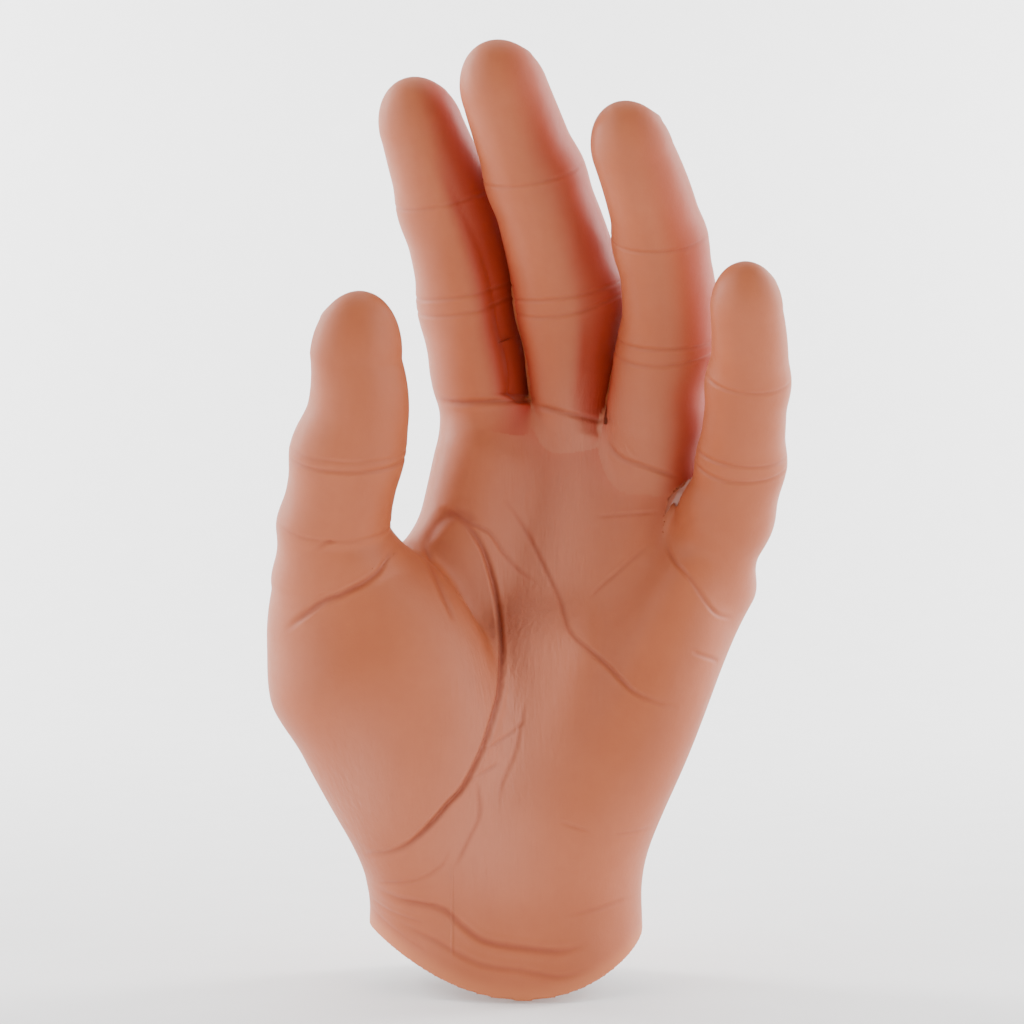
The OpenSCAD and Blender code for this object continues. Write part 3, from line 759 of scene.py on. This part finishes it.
def relief(verts, normals, owner):
    """Depth cut into the skin at each vertex, and which vertices count as the palm's."""
    depth, on_palm = np.zeros(len(verts)), np.ones(len(verts), bool)
    for i, digit in enumerate(DIGITS):
        on_digit = (owner == i) & (digit.height(verts, 0) > -2.0)
        cut_digit_lines(verts, digit, on_digit, depth)
        nail_bed(verts, digit, on_digit & (digit.height(verts, digit.bones - 1) > 0), depth)
        on_palm &= ~((owner == i) & (digit.height(verts, 0) > 2.0))
    palm_depth = np.zeros(len(verts))
    cut_lines(verts, normals, PALM_CREASES + WRIST_FOLDS, palm_depth)
    depth += palm_depth * on_palm
    cut_lines(verts, normals, BASE_CREASES, depth)
    return depth * smooth_step(above_rim(verts), 1.0, 4.0), on_palm


def shade_between(normals, owner, fields):
    """Painted shade, 1 deep between two fingers, where they shade each other and light scattered in the silicone
    turns red. The side that faces the next finger lies behind it, so it counts most.
    """
    near = np.maximum(fields, 0.0)
    shade = np.zeros(len(owner))
    for i in range(3):
        toward = smooth_step(normals @ FINGERS[i].side, 0.1, 0.8)
        shade += (owner == i) * toward * np.exp(-near[:, i + 1] / 25.0)
        away = smooth_step(-normals @ FINGERS[i + 1].side, 0.2, 0.8)
        shade += (owner == i + 1) * (0.3 + 0.6 * away) * np.exp(-near[:, i] / 2.5)
        shade += (owner < 0) * np.exp(-(near[:, i] + near[:, i + 1]) / 5.0)
    return np.minimum(shade, 1.0)


def fine_wrinkles(verts, normals):
    """Where the palm is finely wrinkled: its hollow, and the thumb's mound low on its outer side."""
    p = verts[:, [0, 2]]
    hollow, _ = spline(((-4, 14), (1, 36), (6, 60), (11, 80), (17, 97)), 2.0)
    apart = np.linalg.norm(p[:, None] - hollow[None], axis=2).min(1)
    mound = (((p - (-30.0, 26.0)) / (8.0, 14.0)) ** 2).sum(1)
    return smooth_step(-normals[:, 1], 0.1, 0.5) * (np.exp(-(apart / 13.0) ** 2) + 0.9 * np.exp(-mound))


def build_skin():
    """The skin's pieces: {name: (object, digit or None, number of splits it lies beyond)}."""
    verts, quads, grid, low = skin_surface()
    depth, _ = relief(verts, vertex_normals(verts, quads), owners(verts)[0])
    marked = np.abs(depth) > 0.02
    marked[quads[marked[quads].any(1)].ravel()] = True
    count = len(verts)
    verts, quads = refine(verts, quads, marked[quads].any(1))
    verts[count:] = pull_to_surface(grid, low, verts[count:])
    normals = vertex_normals(verts, quads)
    owner, fields = owners(verts)
    depth, on_palm = relief(verts, normals, owner)
    rim = above_rim(verts)
    raised = tendons(verts, normals) * on_palm * smooth_step(rim, 1.0, 4.0)
    verts = verts + normals * (raised - depth)[:, None]
    cut = CutMesh(verts, quads, {
        "rest": verts * MM,
        "whole_normal": vertex_normals(verts, quads),
        # Crease depth, which also sets the painted shade that darkens the creases in the skin material.
        "crease": np.clip(depth / 0.5, 0.0, 1.0),
        # Painted shade between the fingers.
        "gap": shade_between(normals, owner, fields),
        "wrinkled": fine_wrinkles(verts, normals),
        # Nearness to the cuff's rim, used for painted light there.
        "rim": 1.0 - smooth_step(rim, 0.5, 5.0),
    })
    pieces = {"palm_skin": (piece_object(cut, "palm_skin", -1, 0), None, 0)}
    for i, digit in enumerate(DIGITS):
        for k in range(1, digit.bones + 1):
            name = digit.bodies[k] + "_cover"
            pieces[name] = (piece_object(cut, name, i, k), digit, k)
    return pieces


def attach_skin(pieces):
    """Makes each piece stand for its CAD skin, which it hides. The palm's piece follows the palm's body; each
    digit's piece has its place baked into its mesh.
    """
    for name, (obj, digit, k) in pieces.items():
        obj.data.materials.append(skin_material())
        if digit is None:
            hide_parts("palm_glove", "palm_core")
            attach(obj, "palm")
            continue
        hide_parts(digit.bodies[k] + "_skin")
        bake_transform(obj)


# ---------------------------------------------------------------------------------------------------
# Nails
# ---------------------------------------------------------------------------------------------------

def nail_points(digit, u, w):
    """The points of a digit's back at u across and w along its nail."""
    out = -digit.front(digit.bones - 1)
    base = digit.centres[-1] - digit.tip_dir * NAIL_BACK
    p = base + u[:, None] * digit.side * digit.widths[-1] * 0.64 + w[:, None] * digit.tip_dir * NAIL_HALF
    p = p + out * 16.0
    for _ in range(24):
        p = p - out * digit_field(p, digit)[:, None]
    return p


def build_nail(digit):
    """A curved plate with a rounded root and a free edge just proud of the fingertip."""
    rings, spokes = 7, 48
    rho = np.sin(np.repeat(np.arange(1, rings + 1), spokes) / rings * np.pi / 2)
    angle = np.tile(2 * np.pi * np.arange(spokes) / spokes, rings)
    c, d = np.cos(angle), np.sin(angle)
    reach = rho / (np.abs(c) ** 3.2 + np.abs(d) ** 3.2) ** (1 / 3.2)
    skin = nail_points(digit, np.append(0.0, c * reach), np.append(0.0, d * reach))
    lift = np.append(0.35, 0.35 - 0.5 * rho ** 5 * (1.0 - np.maximum(d, 0.0)))
    out = -digit.front(digit.bones - 1)
    top, bottom = skin + out * lift[:, None], skin - out * 0.7
    count = len(skin)
    faces = []
    for s in range(spokes):
        n = (s + 1) % spokes
        faces.append((0, 1 + s, 1 + n))
        faces.append((count, count + 1 + n, count + 1 + s))
        for ring in range(rings - 1):
            a, b = 1 + ring * spokes, 1 + (ring + 1) * spokes
            faces.append((a + s, b + s, b + n, a + n))
            faces.append((count + a + n, count + b + n, count + b + s, count + a + s))
        edge = 1 + (rings - 1) * spokes
        faces.append((edge + s, count + edge + s, count + edge + n, edge + n))
    name = digit.name + "_nail_plate"
    mesh = bpy.data.meshes.new(name)
    mesh.from_pydata(np.concatenate((top, bottom)) * MM, [], faces)
    bm = bmesh.new()
    bm.from_mesh(mesh)
    bmesh.ops.recalc_face_normals(bm, faces=bm.faces)
    bm.to_mesh(mesh)
    bm.free()
    for poly in mesh.polygons:
        poly.use_smooth = True
    obj = bpy.data.objects.new(name, mesh)
    bpy.context.scene.collection.objects.link(obj)
    mesh.materials.append(nail_material())
    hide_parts(digit.name + "_nail")
    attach(obj, digit.bodies[-1])
    return obj


# ---------------------------------------------------------------------------------------------------
# Materials
# ---------------------------------------------------------------------------------------------------

class Nodes:
    """Short helpers for building one node material."""

    def __init__(self, name):
        self.material = bpy.data.materials.new(name)
        self.material.use_nodes = True
        self.tree = self.material.node_tree
        self.shader = self.tree.nodes["Principled BSDF"]

    def add(self, kind, inputs=None, **settings):
        node = self.tree.nodes.new("ShaderNode" + kind)
        for key, value in settings.items():
            setattr(node, key, value)
        for key, value in (inputs or {}).items():
            self.put(node.inputs[key], value)
        return node

    def put(self, socket, value):
        if isinstance(value, bpy.types.NodeSocket):
            self.tree.links.new(value, socket)
        else:
            socket.default_value = value

    def attribute(self, name, output="Fac"):
        return self.add("Attribute", attribute_name=name).outputs[output]

    def noise(self, where, scale, detail=3.0):
        return self.add("TexNoise", {"Vector": where, "Scale": scale, "Detail": detail}).outputs["Fac"]

    def stretched(self, where, turn):
        """Coordinates turned about Y and drawn out along the height that results."""
        return self.add("Mapping", {"Vector": where, "Rotation": (0, turn, 0), "Scale": (1, 1, 0.12)},
                        vector_type="POINT").outputs["Vector"]

    def ramp(self, value, low, high):
        """0 at low, 1 at high."""
        return self.add("MapRange", {"Value": value, "From Min": low, "From Max": high}).outputs["Result"]

    def math(self, operation, a, b):
        return self.add("Math", {0: a, 1: b}, operation=operation).outputs[0]

    def mix(self, factor, a, b):
        node = self.add("Mix", data_type="RGBA")
        self.put(node.inputs["Factor"], factor)
        self.put(node.inputs["A"], a)
        self.put(node.inputs["B"], b)
        return node.outputs["Result"]

    def bump(self, height, distance, strength=1.0, normal=None):
        inputs = {"Height": height, "Distance": distance, "Strength": strength}
        if normal is not None:
            inputs["Normal"] = normal
        return self.add("Bump", inputs).outputs["Normal"]


_made = {}


def skin_material():
    """Satin silicone: tan with pinker patches, with painted shade making it darker and redder in the creases and
    between the fingers, and painted light making it brighter at the cuff's rim.
    """
    if "skin" in _made:
        return _made["skin"]
    n = Nodes("glove_silicone")
    where = n.attribute("rest", "Vector")
    patches = n.ramp(n.noise(where, 38.0, 3.0), 0.35, 0.65)
    flecks = n.ramp(n.noise(where, 420.0, 4.0), 0.3, 0.7)
    colour = n.mix(patches, (0.375, 0.094, 0.034, 1), (0.415, 0.111, 0.044, 1))
    colour = n.mix(n.math("MULTIPLY", flecks, 0.22), colour, (0.35, 0.08, 0.032, 1))
    colour = n.mix(n.math("MULTIPLY", n.attribute("wrinkled"), 0.6), colour, (0.50, 0.18, 0.11, 1))
    # Painted shade: dark red between the fingers, where each finger shades its neighbour.
    colour = n.mix(n.attribute("gap"), colour, (0.33, 0.024, 0.009, 1))
    # Painted light: brighter orange at the cuff's thin rim, as if lit through from below.
    colour = n.mix(n.math("MULTIPLY", n.attribute("rim"), 0.8), colour, (0.52, 0.16, 0.06, 1))
    # Painted shade: darker and redder down in the creases.
    colour = n.mix(n.math("MULTIPLY", n.attribute("crease"), 0.65), colour, (0.25, 0.045, 0.02, 1))
    n.put(n.shader.inputs["Base Color"], colour)
    n.put(n.shader.inputs["Roughness"], n.add("MapRange", {
        "Value": n.noise(where, 900.0, 2.0), "To Min": 0.46, "To Max": 0.58}).outputs["Result"])
    n.put(n.shader.inputs["Specular IOR Level"], 0.32)
    cells = n.add("TexVoronoi", {"Vector": where, "Scale": 1500.0}, feature="DISTANCE_TO_EDGE")
    normal = n.bump(cells.outputs["Distance"], 0.00005, 0.3)
    normal = n.bump(n.noise(where, 330.0, 5.0), 0.00016, 0.45, normal)
    for turn in (-0.72, 0.25):
        lines = n.noise(n.stretched(where, turn), 900.0, 2.0)
        lines = n.math("MULTIPLY", n.ramp(lines, 0.38, 0.62), n.attribute("wrinkled"))
        normal = n.bump(lines, 0.00016, 0.45, normal)
    n.put(n.shader.inputs["Normal"], n.bump(mould_seam(n, where), 0.00025, 0.8, normal))
    _made["skin"] = n.material
    return n.material


def mould_seam(n, where):
    """1 along the seam that the glove's mould left down the front of the wrist."""
    place = n.add("SeparateXYZ", {"Vector": where}).outputs
    across = n.math("ABSOLUTE", n.math("ADD", place["X"], 0.0111), 0.0)
    line = n.ramp(across, 0.00045, 0.0001)
    low, high = n.ramp(place["Z"], -0.011, -0.008), n.ramp(place["Z"], 0.010, 0.006)
    return n.math("MULTIPLY", n.math("MULTIPLY", line, n.math("MULTIPLY", low, high)),
                  n.ramp(place["Y"], -0.008, -0.012))


def nail_material():
    """Glossy pink acrylic."""
    if "nail" in _made:
        return _made["nail"]
    n = Nodes("nail_acrylic")
    where = n.add("TexCoord").outputs["Object"]
    cloud = n.noise(where, 160.0, 2.0)
    n.put(n.shader.inputs["Base Color"], n.mix(cloud, (0.47, 0.19, 0.125, 1), (0.55, 0.25, 0.175, 1)))
    n.put(n.shader.inputs["Roughness"], 0.22)
    n.put(n.shader.inputs["Coat Weight"], 0.4)
    n.put(n.shader.inputs["Normal"], n.bump(n.noise(where, 700.0, 2.0), 0.00004, 0.3))
    _made["nail"] = n.material
    return n.material


def metal_material(name, colour, roughness, grain):
    """Machined metal with faint turning marks."""
    if name in _made:
        return _made[name]
    n = Nodes(name)
    where = n.add("TexCoord").outputs["Object"]
    n.put(n.shader.inputs["Metallic"], 1.0)
    streaks = n.add("TexWave", {"Vector": where, "Scale": grain, "Distortion": 1.5, "Detail": 2.0},
                    bands_direction="Z").outputs["Fac"]
    tone = n.mix(n.noise(where, 300.0, 4.0), tuple(c * 0.82 for c in colour) + (1,), colour + (1,))
    n.put(n.shader.inputs["Base Color"], tone)
    n.put(n.shader.inputs["Roughness"], n.add("MapRange", {
        "Value": streaks, "To Min": roughness - 0.06, "To Max": roughness + 0.08}).outputs["Result"])
    n.put(n.shader.inputs["Normal"], n.bump(streaks, 0.00004, 0.4))
    _made[name] = n.material
    return n.material


def dress_cad_nodes():
    """Gives every CAD node that still shows its metal."""
    steel = ("wrist_stud", "stud_nut", "plate_screws", "set_screws", "knuckle_pins")
    for name, node in frame["nodes"].items():
        if node.hide_render:
            continue
        is_steel = name in steel or name.endswith("_pin")
        if is_steel:
            material = metal_material("pin_steel", (0.42, 0.42, 0.44), 0.3, 900.0)
        else:
            material = metal_material("link_aluminium", (0.78, 0.79, 0.8), 0.34, 500.0)
        node.data.materials.clear()
        node.data.materials.append(material)


# ---------------------------------------------------------------------------------------------------
# Studio
# ---------------------------------------------------------------------------------------------------

def paper_material():
    n = Nodes("paper")
    where = n.add("TexCoord").outputs["Object"]
    n.put(n.shader.inputs["Base Color"], n.mix(n.noise(where, 60.0), (0.86, 0.86, 0.86, 1), (0.9, 0.9, 0.9, 1)))
    n.put(n.shader.inputs["Roughness"], 0.9)
    return n.material


def build_backdrop(floor_z):
    """A sheet of paper that curves up behind the hand."""
    bend, depth, width, rise = 0.35, 0.9, 3.0, 2.2
    rows = [(-0.9, floor_z), (depth - bend, floor_z)]
    for step in range(1, 13):
        a = np.pi / 2 * step / 12
        rows.append((depth - bend + bend * np.sin(a), floor_z + bend * (1 - np.cos(a))))
    rows.append((depth, floor_z + rise))
    verts = [(side * width, y, z) for y, z in rows for side in (-1, 1)]
    faces = [(2 * i, 2 * i + 1, 2 * i + 3, 2 * i + 2) for i in range(len(rows) - 1)]
    mesh = bpy.data.meshes.new("backdrop")
    mesh.from_pydata(verts, [], faces)
    for poly in mesh.polygons:
        poly.use_smooth = True
    mesh.materials.append(paper_material())
    obj = bpy.data.objects.new("backdrop", mesh)
    bpy.context.scene.collection.objects.link(obj)


def add_light(name, place, target, size, watts, colour=(1, 1, 1)):
    data = bpy.data.lights.new(name, "AREA")
    data.shape = "RECTANGLE"
    data.size, data.size_y = size
    data.energy = watts
    data.color = colour
    obj = bpy.data.objects.new(name, data)
    bpy.context.scene.collection.objects.link(obj)
    obj.location = place
    obj.rotation_euler = (Vector(target) - Vector(place)).to_track_quat("-Z", "Y").to_euler()


def build_studio():
    centre = (0.0, 0.0, 0.085)
    build_backdrop(cad_bounds[0].z - 0.0005)
    add_light("left_box", (-0.5, -0.26, 0.2), centre, (0.4, 0.8), 4.1)
    add_light("right_box", (0.5, -0.26, 0.2), centre, (0.4, 0.8), 4.1)
    add_light("top_box", (0.0, 0.05, 0.8), centre, (0.8, 0.5), 3.5)
    add_light("front_fill", (0.0, -1.1, 0.35), centre, (0.9, 0.9), 2.1)
    for side in (-1, 1):
        add_light("paper_light", (side * 0.8, 0.35, 0.5), (0.0, 0.9, 0.2), (0.4, 0.9), 24.0)
    world = bpy.data.worlds.new("studio")
    world.use_nodes = True
    tree = world.node_tree
    background = tree.nodes["Background"]
    background.inputs["Color"].default_value = (1, 1, 1, 1)
    seen = tree.nodes.new("ShaderNodeLightPath")
    strength = tree.nodes.new("ShaderNodeMapRange")
    strength.inputs["To Min"].default_value = 0.12
    strength.inputs["To Max"].default_value = 0.85
    tree.links.new(seen.outputs["Is Camera Ray"], strength.inputs["Value"])
    tree.links.new(strength.outputs["Result"], background.inputs["Strength"])
    bpy.context.scene.world = world


def build_camera():
    data = bpy.data.cameras.new("camera")
    data.sensor_width = 36.0
    data.lens = 71.9
    data.clip_start = 0.01
    obj = bpy.data.objects.new("camera", data)
    bpy.context.scene.collection.objects.link(obj)
    obj.location = (0.0015, -0.45, 0.0832)
    obj.rotation_euler = (np.pi / 2, 0, 0)
    bpy.context.scene.camera = obj


attach_skin(build_skin())
for digit in DIGITS:
    build_nail(digit)
dress_cad_nodes()
build_studio()
build_camera()
